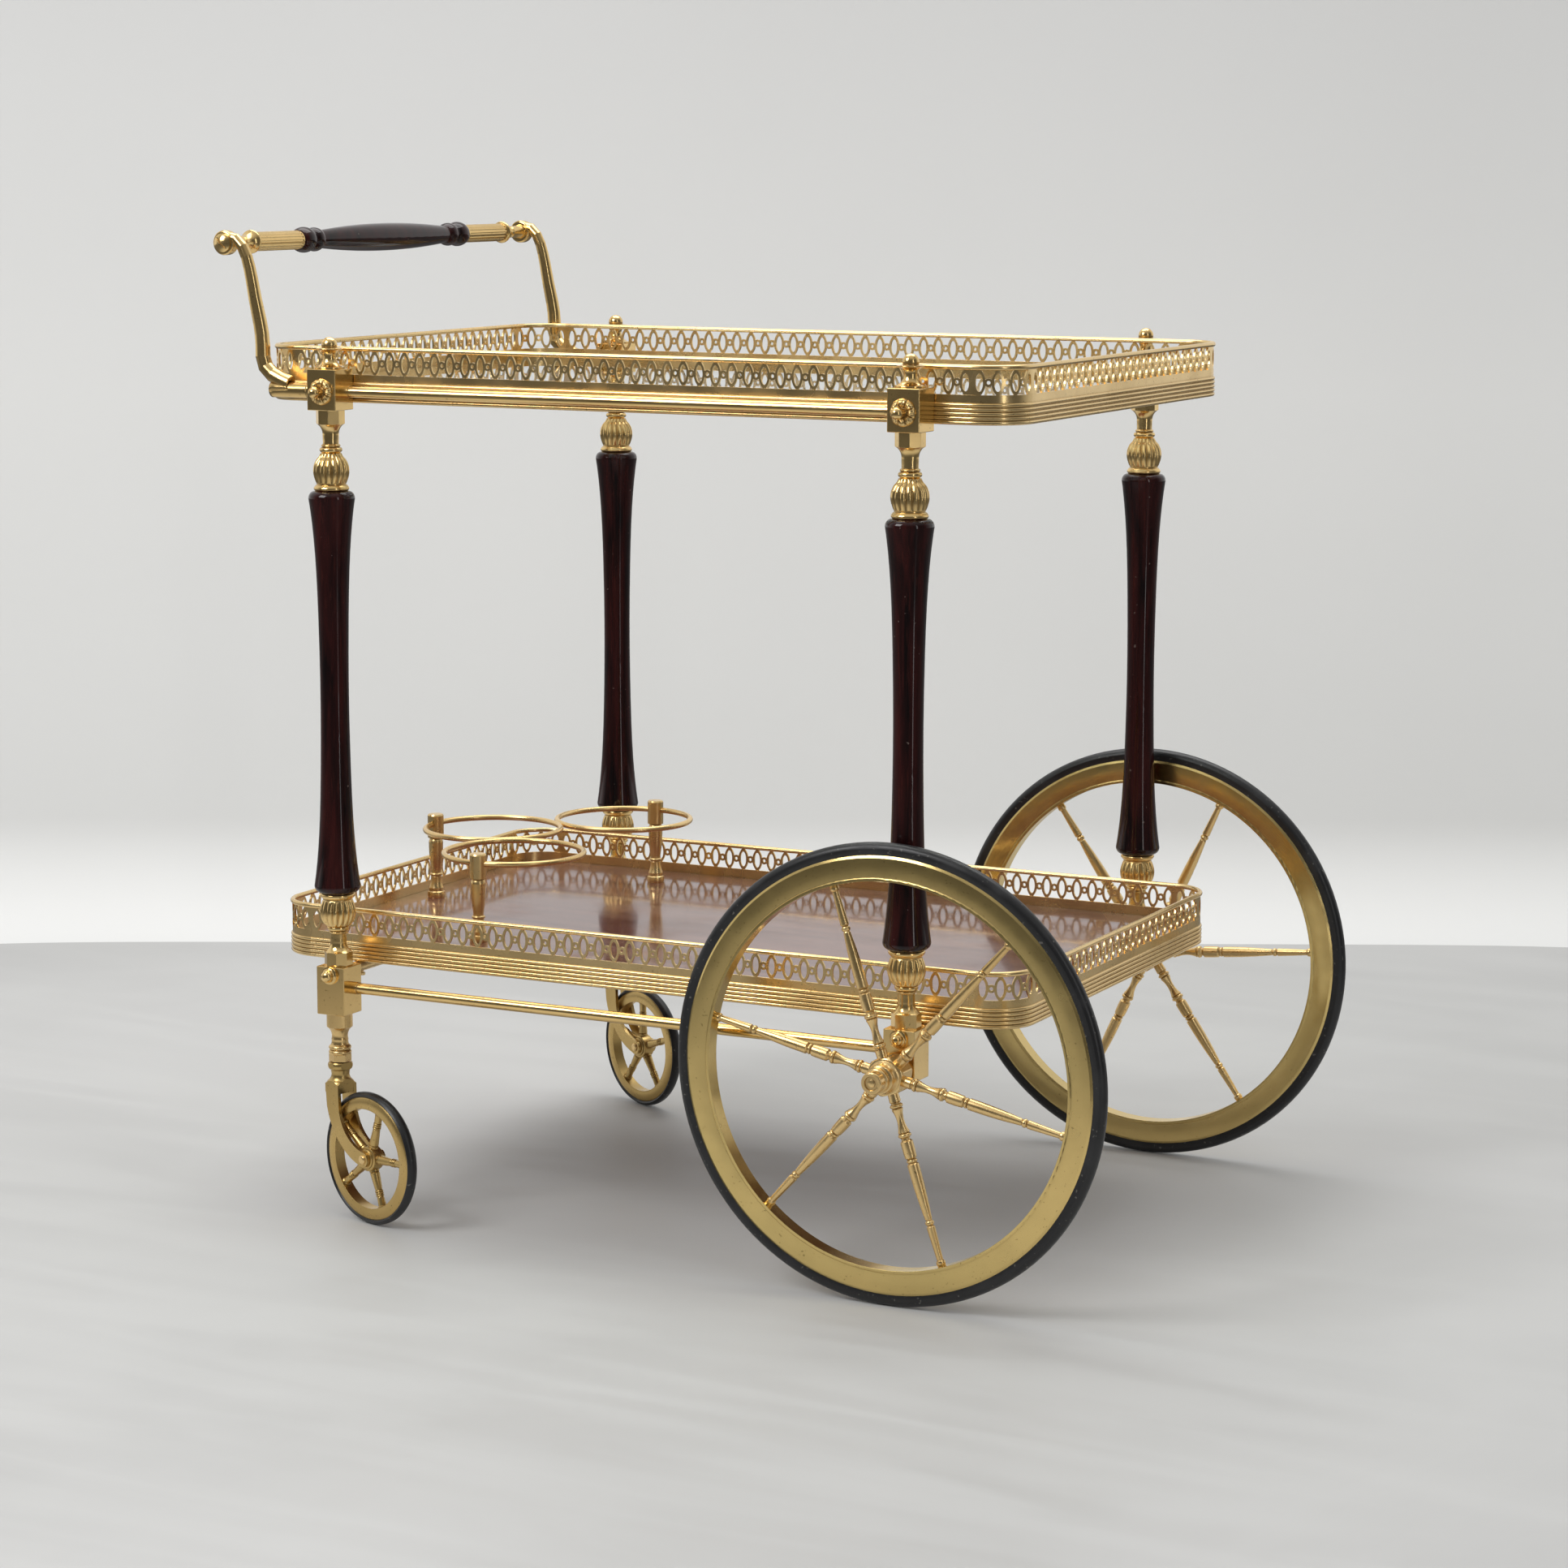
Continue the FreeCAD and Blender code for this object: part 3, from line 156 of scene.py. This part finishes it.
def brass(name, bright, dull, dust_and_shade, roughness, edge=0.0004, tarnish=0.5, crevice=0.004):
    """Polished to dull brass with clouded patches, crevices darkened by painted shade with some
    tarnish, dust specks and fine dents.
    """
    look = Finish(name)
    clouds = look.fit(look.noise(9.0, 4.0), 0.38, 0.66)
    specks = look.fit(look.noise(420.0, 1.0), 0.70, 0.76)
    colour = look.blend(look.math("MULTIPLY", clouds, tarnish), bright, dull)
    # painted shade with some tarnish: crevices of the same piece darken towards the dark colour and
    # turn rougher
    shade = look.fit(look.crevice(crevice), 0.25, 0.8, 1.0, 0.0)
    colour = look.blend(look.math("MULTIPLY", shade, 0.8), colour, dust_and_shade)
    colour = look.blend(look.math("MULTIPLY", specks, 0.5), colour, dust_and_shade)
    smears = look.fit(look.noise(38.0, 3.0), 0.35, 0.75, roughness[0], roughness[1])
    rough = look.math("ADD", smears, look.math("MULTIPLY", shade, 0.2))
    normal = look.relief(look.noise(60.0, 2.0), 0.05, 0.0001, look.rounded(edge))
    look.set(Base_Color=colour, Metallic=1.0, Roughness=rough, Normal=normal)
    return look.material


def lacquered_wood():
    """Near-black mahogany under a glossy lacquer, with upright grain."""
    look = Finish("mahogany")
    grain = look.noise(14.0, 6.0, (9.0, 9.0, 0.7), 0.6)
    fine = look.noise(160.0, 3.0, (4.0, 4.0, 0.25))
    streak = look.fit(grain, 0.35, 0.68)
    colour = look.blend(streak, (0.0040, 0.0016, 0.0018), (0.030, 0.0055, 0.0050))
    colour = look.blend(look.math("MULTIPLY", look.fit(fine, 0.55, 0.75), 0.45), colour,
                        (0.05, 0.011, 0.008))
    nicks = look.fit(look.noise(230.0, 1.0), 0.775, 0.79)
    colour = look.blend(look.math("MULTIPLY", nicks, 0.7), colour, (0.12, 0.09, 0.08))
    rub = look.fit(look.noise(22.0, 4.0), 0.4, 0.75, 0.08, 0.2)
    normal = look.relief(look.noise(45.0, 2.0), 0.04, 0.001)
    look.set(Base_Color=colour, Roughness=rub, Normal=normal, Specular_IOR_Level=0.2,
             Coat_Weight=0.35, Coat_Roughness=0.03,
             Coat_Normal=look.relief(look.noise(30.0, 2.0), 0.03, 0.001))
    return look.material


def panel_wood():
    """Glossy red-brown veneer with fine straight grain along X."""
    look = Finish("panel_veneer")
    bands = look.noise(5.0, 5.0, (0.9, 11.0, 1.0), 0.8)
    pores = look.noise(120.0, 3.0, (0.35, 7.0, 1.0))
    flecks = look.noise(700.0, 2.0, (0.6, 1.4, 1.0))
    colour = look.blend(look.fit(bands, 0.35, 0.65), (0.115, 0.040, 0.030), (0.215, 0.098, 0.075))
    colour = look.blend(look.math("MULTIPLY", look.fit(pores, 0.5, 0.7), 0.6), colour,
                        (0.055, 0.018, 0.014))
    colour = look.blend(look.math("MULTIPLY", look.fit(flecks, 0.6, 0.75), 0.5), colour,
                        (0.34, 0.22, 0.18))
    dust = look.fit(look.noise(17.0, 4.0), 0.4, 0.7, 0.08, 0.22)
    normal = look.relief(pores, 0.06, 0.0004)
    look.set(Base_Color=colour, Roughness=dust, Normal=normal, Specular_IOR_Level=0.3,
             Coat_Weight=0.3, Coat_Roughness=0.05)
    return look.material


def clear_glass():
    """Clear pane with a faint green body and fingerprints that lets light through."""
    look = Finish("clear_glass")
    prints = look.fit(look.noise(24.0, 4.0), 0.55, 0.8, 0.0, 0.09)
    tint = look.blend(look.fit(look.noise(2.0), 0.3, 0.7), (0.93, 0.98, 0.95), (0.97, 0.99, 0.98))
    look.set(Base_Color=tint, Roughness=prints, IOR=1.5, Transmission_Weight=1.0,
             Normal=look.relief(look.noise(6.0), 0.01, 0.001))
    ray = look.add("ShaderNodeLightPath")
    clear = look.add("ShaderNodeBsdfTransparent", {"Color": (0.93, 0.96, 0.94, 1.0)})
    passing = look.math("MAXIMUM", ray.outputs["Is Shadow Ray"], ray.outputs["Is Diffuse Ray"])
    choice = look.add("ShaderNodeMixShader", {
        0: passing, 1: look.shader.outputs["BSDF"], 2: clear.outputs["BSDF"],
    })
    output = look.tree.nodes["Material Output"]
    look.connect(choice.outputs["Shader"], output.inputs["Surface"])
    return look.material


def black_rubber():
    """Satin black rubber with scuffs and pale specks of dust."""
    look = Finish("black_rubber")
    scuffs = look.fit(look.noise(26.0, 6.0), 0.5, 0.75)
    colour = look.blend(look.math("MULTIPLY", scuffs, 0.6), (0.010, 0.010, 0.011),
                        (0.030, 0.030, 0.032))
    dust = look.fit(look.noise(330.0, 1.0), 0.70, 0.76)
    colour = look.blend(look.math("MULTIPLY", dust, 0.45), colour, (0.19, 0.18, 0.16))
    rough = look.fit(scuffs, 0.0, 1.0, 0.33, 0.55)
    look.set(Base_Color=colour, Roughness=rough, Normal=look.relief(look.noise(300.0, 3.0), 0.12,
                                                                    0.0004))
    return look.material


def steel():
    """Plain drawn steel of the hidden rods."""
    look = Finish("steel_rod")
    streak = look.fit(look.noise(50.0, 4.0, (1, 1, 0.1)), 0.3, 0.7)
    look.set(Base_Color=look.blend(streak, (0.50, 0.50, 0.50), (0.36, 0.35, 0.33)), Metallic=1.0,
             Roughness=look.fit(streak, 0.0, 1.0, 0.25, 0.4),
             Normal=look.relief(look.noise(600.0), 0.1, 0.0003))
    return look.material


def studio_floor():
    """Pale grey floor, faintly mottled and streaked; as polished surfaces see it, its far part is
    painted dark.
    """
    look = Finish("studio_floor")
    mottle = look.fit(look.noise(2.2, 8.0, (1.0, 1.0, 1.0), 0.6), 0.3, 0.7)
    streaks = look.fit(look.noise(5.0, 6.0, (0.35, 2.2, 1.0), 1.2), 0.42, 0.62)
    colour = look.blend(mottle, (0.48, 0.478, 0.47), (0.55, 0.548, 0.54))
    colour = look.blend(look.math("MULTIPLY", streaks, 0.3), colour, (0.61, 0.61, 0.60))
    # painted shade seen only in reflections: beyond the reach from the centre the floor darkens to
    # grey-black
    far = look.fit(look.distance_from_centre(), GLOW_REACH[0], GLOW_REACH[1])
    mirrored = look.add("ShaderNodeLightPath").outputs["Is Glossy Ray"]
    colour = look.blend(look.math("MULTIPLY", far, mirrored), colour, (0.11, 0.11, 0.11))
    look.set(Base_Color=colour, Roughness=look.fit(streaks, 0.0, 1.0, 0.45, 0.6),
             Specular_IOR_Level=0.3,
             Normal=look.relief(look.noise(40.0, 6.0), 0.1, 0.002))
    return look.material


def studio_wall():
    """Pale backdrop that can't be seen from behind and casts no shadow; painted shade darkens it
    towards the top.
    """
    look = Finish("studio_wall")
    tone = look.fit(look.noise(1.3, 3.0), 0.3, 0.7)
    colour = look.blend(tone, (0.77, 0.77, 0.76), (0.80, 0.80, 0.79))
    # painted shade: the wall darkens upwards from 0.6 m to 1.5 m
    height = look.add("ShaderNodeSeparateXYZ", {0: look.place}).outputs["Z"]
    colour = look.blend(look.fit(height, 0.6, 1.5), colour, (0.56, 0.56, 0.56))
    look.set(Base_Color=colour, Roughness=0.9, Specular_IOR_Level=0.0)
    behind = look.add("ShaderNodeNewGeometry").outputs["Backfacing"]
    clear = look.add("ShaderNodeBsdfTransparent")
    choice = look.add("ShaderNodeMixShader", {
        0: behind, 1: look.shader.outputs["BSDF"], 2: clear.outputs["BSDF"],
    })
    look.connect(choice.outputs["Shader"], look.tree.nodes["Material Output"].inputs["Surface"])
    return look.material


SLOT_FINISHES = {
    "polished_brass": brass("polished_brass", (0.92, 0.65, 0.28), (0.78, 0.52, 0.20),
                            (0.12, 0.055, 0.015), (0.14, 0.25)),
    "satin_brass": brass("satin_brass", (0.92, 0.66, 0.31), (0.77, 0.52, 0.21),
                         (0.12, 0.060, 0.018), (0.24, 0.36), 0.0004, 0.6),
    "aged_brass": brass("aged_brass", (0.91, 0.67, 0.33), (0.74, 0.52, 0.22),
                        (0.12, 0.060, 0.018), (0.21, 0.34), 0.0003, 0.6, 0.002),
    "dull_brass": brass("dull_brass", (0.84, 0.62, 0.25), (0.66, 0.50, 0.20),
                        (0.14, 0.09, 0.03), (0.14, 0.30), 0.0006, 0.8),
    "mahogany": lacquered_wood(),
    "panel_veneer": panel_wood(),
    "clear_glass": clear_glass(),
    "black_rubber": black_rubber(),
    "steel_rod": steel(),
}


def finish_cad_nodes():
    """Give every CAD node the finish of its material slot; the casters get a darker brass."""
    darker_casters = brass("darker_caster_brass", (0.66, 0.46, 0.18), (0.48, 0.33, 0.12),
                 (0.12, 0.060, 0.018), (0.24, 0.38), 0.0004, 0.8)
    for part in frame["record"]["subparts"]:
        finish = SLOT_FINISHES[part["material_slot"]]
        if part["node"].startswith(("caster_wheel", "caster_fork")):
            finish = darker_casters
        mesh = frame["nodes"][part["node"]].data
        mesh.materials.clear()
        mesh.materials.append(finish)


# ---------------------------------------------------------------- turned and fluted pieces

def grid_mesh(name, rings, ends="open"):
    """Skin a stack of equally long rings of points; the ends are open, capped or joined."""
    count = len(rings[0])
    total = count * len(rings)
    faces = []
    for level in range(len(rings) if ends == "joined" else len(rings) - 1):
        for k in range(count):
            a = level * count + k
            b = level * count + (k + 1) % count
            faces.append((a, b, (b + count) % total, (a + count) % total))
    if ends == "capped":
        faces.append(tuple(reversed(range(count))))
        faces.append(tuple(range(total - count, total)))
    mesh = bpy.data.meshes.new(name)
    mesh.from_pydata([point for ring in rings for point in ring], [], faces)
    mesh.shade_smooth()
    return mesh


def placed_copies(name, mesh, matrices, body, slot):
    """One object made of a mesh at several places, riding on a CAD body."""
    verts = []
    faces = []
    for matrix in matrices:
        base = len(verts)
        verts += [matrix @ vertex.co for vertex in mesh.vertices]
        faces += [tuple(base + i for i in face.vertices) for face in mesh.polygons]
    whole = bpy.data.meshes.new(name)
    whole.from_pydata(verts, [], faces)
    whole.shade_smooth()
    whole.materials.append(SLOT_FINISHES[slot])
    thing = bpy.data.objects.new(name, whole)
    bpy.context.scene.collection.objects.link(thing)
    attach(thing, body)
    return thing


def circle_points(radii, z):
    """Closed ring of points about Z; radii in millimetres, one per step round."""
    count = len(radii)
    ring = []
    for k, radius in enumerate(radii):
        angle = 2 * math.pi * k / count
        ring.append((radius * math.cos(angle) * MM, radius * math.sin(angle) * MM, z * MM))
    return ring


def smooth_profile(points, steps=6):
    """Points along a Catmull-Rom curve through (radius, height, sharp) points."""
    result = []
    for i in range(len(points) - 1):
        a, b = points[i], points[i + 1]
        before = points[i - 1] if i and not a[2] else a
        after = points[i + 2] if i + 2 < len(points) and not b[2] else b
        for s in range(steps):
            t = s / steps
            result.append(tuple(
                0.5 * (2 * a[j] + (b[j] - before[j]) * t
                       + (2 * before[j] - 5 * a[j] + 4 * b[j] - after[j]) * t ** 2
                       + (3 * a[j] - before[j] - 3 * b[j] + after[j]) * t ** 3)
                for j in (0, 1)))
    result.append(points[-1][:2])
    return result


def fluted_bulb_mesh(height):
    """Gadrooned bulb on a rolled lip, standing on z = 0."""
    lobes = 16
    samples = lobes * 12
    foot = 6.4
    bore = 3.3
    groove_depth = 2.0
    profile = smooth_profile([
        (bore, 0.0, True), (13.2, 0.0, True), (14.2, 1.2, False), (14.2, 2.6, False),
        (12.9, 4.4, False), (11.9, 5.0, True), (11.9, 5.8, True), (12.8, 7.4, False),
        (14.3, 12.0, False), (14.8, 16.2, False), (14.2, 20.6, False), (12.4, 24.6, False),
        (10.0, 27.4, False), (8.6, height, True), (bore, height, True),
    ])
    rings = []
    for radius, z in profile:
        share = min(max((z - foot) / (height - foot), 0.0), 1.0)
        depth = groove_depth * math.sin(math.pi * share) ** 0.4 if 0 < share < 1 else 0.0
        radii = []
        for k in range(samples):
            wave = abs(math.cos(math.pi * lobes * k / samples)) ** 0.7
            radii.append(radius - depth * (1 - wave))
        rings.append(circle_points(radii, z))
    return grid_mesh("bulb", rings, "joined")


def build_bulbs():
    low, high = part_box("upper_fluted_bulbs")
    mesh = fluted_bulb_mesh((high.z - low.z) / MM)
    places = [Matrix.Translation((x, y, low.z)) for x, y in POST_PLACES]
    upper = placed_copies("upper_bulbs_gadrooned", mesh, places, "frame", "polished_brass")
    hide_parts("upper_fluted_bulbs")
    low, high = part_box("lower_fluted_bulbs")
    mesh = fluted_bulb_mesh((high.z - low.z) / MM)
    upside_down = Matrix.Rotation(math.pi, 4, "X")
    places = [Matrix.Translation((x, y, high.z)) @ upside_down for x, y in POST_PLACES]
    lower = placed_copies("lower_bulbs_gadrooned", mesh, places, "frame", "polished_brass")
    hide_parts("lower_fluted_bulbs")


def rosette_mesh():
    """Leafy boss with a ball on a short shaft, pointing along +Z."""
    samples = 240
    leaves = 8
    veins = 6
    steps = 12
    rim = 10.6
    rim_thickness = 0.9
    leaf_height = 2.3
    vein_height = 0.5
    narrowing = 0.66
    crown = 0.62
    rings = [circle_points([rim] * samples, 0.0)]
    for step in range(steps + 1):
        share = 1 - step / steps * narrowing
        swell = math.sin(math.pi * min(1.0, (1 - share) / crown)) ** 0.6
        ring = []
        for k in range(samples):
            turn = math.pi * leaves * k / samples
            edge = abs(math.cos(turn)) ** 0.5
            radius = rim * share * (0.9 + 0.1 * edge * share)
            leaf = abs(math.cos(turn)) ** 0.6
            vein = 0.5 + 0.5 * math.cos(veins * turn)
            height = rim_thickness
            if step:
                height += leaf_height * swell * (0.35 + 0.65 * leaf) + vein_height * vein * swell
            angle = 2 * math.pi * k / samples
            ring.append((radius * math.cos(angle) * MM, radius * math.sin(angle) * MM, height * MM))
        rings.append(ring)
    knob = smooth_profile([
        (3.4, 3.0, True), (2.9, 5.4, False), (3.0, 6.4, True), (4.3, 8.6, False),
        (4.6, 10.6, False), (4.0, 12.9, False), (2.3, 14.6, False), (0.3, 15.2, True),
    ], 4)
    rings += [circle_points([radius] * samples, z) for radius, z in knob]
    return grid_mesh("rosette", rings, "capped")


def build_rosettes():
    mesh = rosette_mesh()
    low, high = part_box("upper_corner_blocks")
    places = []
    for x, y in POST_PLACES:
        face = high.y if y > 0 else low.y
        turn = Matrix.Rotation(math.copysign(math.pi / 2, -y), 4, "X")
        places.append(Matrix.Translation((x, face, ROSETTE_Z)) @ turn)
    rosettes = placed_copies("rosettes_leafy", mesh, places, "frame", "polished_brass")
    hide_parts("rosettes")


# ---------------------------------------------------------------- studio

def build_floor():
    reach = 6.0
    bpy.ops.mesh.primitive_plane_add(size=2 * reach)
    floor = bpy.context.object
    floor.name = "studio_floor"
    floor.data.materials.append(studio_floor())


def backdrop_ring(distance, z):
    """Squarish ring round the object, one side square on to the camera."""
    squareness = 10
    sides = 256
    towards = (CAMERA_AT - SCENE_CENTRE).to_2d()
    turn = math.atan2(towards.y, towards.x)
    ring = []
    for k in range(sides):
        angle = 2 * math.pi * k / sides
        side = abs(math.cos(angle)) ** squareness + abs(math.sin(angle)) ** squareness
        radius = distance / side ** (1 / squareness)
        ring.append((radius * math.cos(angle + turn), radius * math.sin(angle + turn), z))
    return ring


def build_backdrop():
    """Wall that rises from the floor in a cove, seen only from inside."""
    wall_distance = 1.19
    wall_height = 4.0
    cove = 0.12
    cove_steps = 12
    lift = 0.0005
    rings = []
    for step in range(cove_steps + 1):
        angle = math.radians(90 * step / cove_steps)
        distance = wall_distance - cove + cove * math.sin(angle)
        rings.append(backdrop_ring(distance, lift + cove * (1 - math.cos(angle))))
    rings.append(backdrop_ring(wall_distance, wall_height))
    mesh = grid_mesh("studio_wall", rings)
    mesh.flip_normals()
    wall = bpy.data.objects.new("studio_wall", mesh)
    bpy.context.scene.collection.objects.link(wall)
    mesh.materials.append(studio_wall())
    wall.visible_diffuse = False
    wall.visible_glossy = False
    wall.visible_transmission = True
    wall.visible_shadow = False


def seen_from_object(right_degrees, up_degrees, distance):
    """A place round the object, measured from the direction of the camera."""
    towards = (CAMERA_AT - SCENE_CENTRE).to_2d().to_3d().normalized()
    sideways = CAMERA_RIGHT.to_2d().to_3d().normalized()
    right = math.radians(right_degrees)
    up = math.radians(up_degrees)
    flat = towards * math.cos(right) + sideways * math.sin(right)
    return SCENE_CENTRE + (flat * math.cos(up) + Vector((0, 0, 1)) * math.sin(up)) * distance


def soft_light(name, place, size, power):
    """Rectangular soft light that faces the object."""
    data = bpy.data.lights.new(name, "AREA")
    data.shape = "RECTANGLE"
    data.size, data.size_y = size
    data.energy = power
    light = bpy.data.objects.new(name, data)
    light.location = place
    light.rotation_mode = "QUATERNION"
    light.rotation_quaternion = (SCENE_CENTRE - place).to_track_quat("-Z", "Y")
    bpy.context.scene.collection.objects.link(light)
    return light


def build_lights():
    soft_light("key_left", seen_from_object(-55, 38, 2.6), (1.1, 1.1), 28)
    soft_light("strip_right", seen_from_object(31, 12, 2.9), (0.22, 2.5), 6)
    soft_light("overhead", seen_from_object(180, 72, 2.4), (2.4, 1.6), 34)


def build_world():
    """Even light, but polished surfaces see a dark side behind the camera."""
    world = bpy.data.worlds.new("studio")
    bpy.context.scene.world = world
    world.use_nodes = True
    tree = world.node_tree
    links = tree.links

    def ramp(value, low, high, to_low, to_high):
        made = tree.nodes.new("ShaderNodeMapRange")
        links.new(value, made.inputs["Value"])
        keys = ("From Min", "From Max", "To Min", "To Max")
        for key, limit in zip(keys, (low, high, to_low, to_high)):
            made.inputs[key].default_value = limit
        return made.outputs["Result"]

    direction = tree.nodes.new("ShaderNodeTexCoord").outputs["Generated"]
    facing = tree.nodes.new("ShaderNodeVectorMath")
    facing.operation = "DOT_PRODUCT"
    links.new(direction, facing.inputs[0])
    away = (SCENE_CENTRE - CAMERA_AT).to_2d().to_3d().normalized()
    facing.inputs[1].default_value = away
    split = tree.nodes.new("ShaderNodeSeparateXYZ")
    links.new(direction, split.inputs[0])
    glow = tree.nodes.new("ShaderNodeMath")
    glow.operation = "MAXIMUM"
    links.new(ramp(facing.outputs["Value"], -0.25, 0.35, DARK_SIDE, BACKDROP_GLOW), glow.inputs[0])
    links.new(ramp(split.outputs["Z"], 0.35, 0.95, 0.0, CEILING_GLOW), glow.inputs[1])
    ray = tree.nodes.new("ShaderNodeLightPath")
    choice = tree.nodes.new("ShaderNodeMix")
    links.new(ray.outputs["Is Glossy Ray"], choice.inputs["Factor"])
    choice.inputs["A"].default_value = AMBIENT
    links.new(glow.outputs["Value"], choice.inputs["B"])
    background = tree.nodes["Background"]
    background.inputs["Color"].default_value = (1.0, 1.0, 0.99, 1.0)
    links.new(choice.outputs["Result"], background.inputs["Strength"])


def build_camera():
    data = bpy.data.cameras.new("photo_view")
    data.lens = CAMERA_LENS
    data.sensor_width = SENSOR
    data.clip_end = 50.0
    camera = bpy.data.objects.new("photo_view", data)
    right = CAMERA_RIGHT.normalized()
    back = right.cross(CAMERA_UP).normalized()
    up = back.cross(right)
    turned = Matrix((right, up, back)).transposed().to_4x4()
    camera.matrix_world = Matrix.Translation(CAMERA_AT) @ turned
    bpy.context.scene.collection.objects.link(camera)
    bpy.context.scene.camera = camera


finish_cad_nodes()
build_bulbs()
build_rosettes()
build_floor()
build_backdrop()
build_lights()
build_world()
build_camera()
bpy.context.scene.view_settings.view_transform = "Standard"
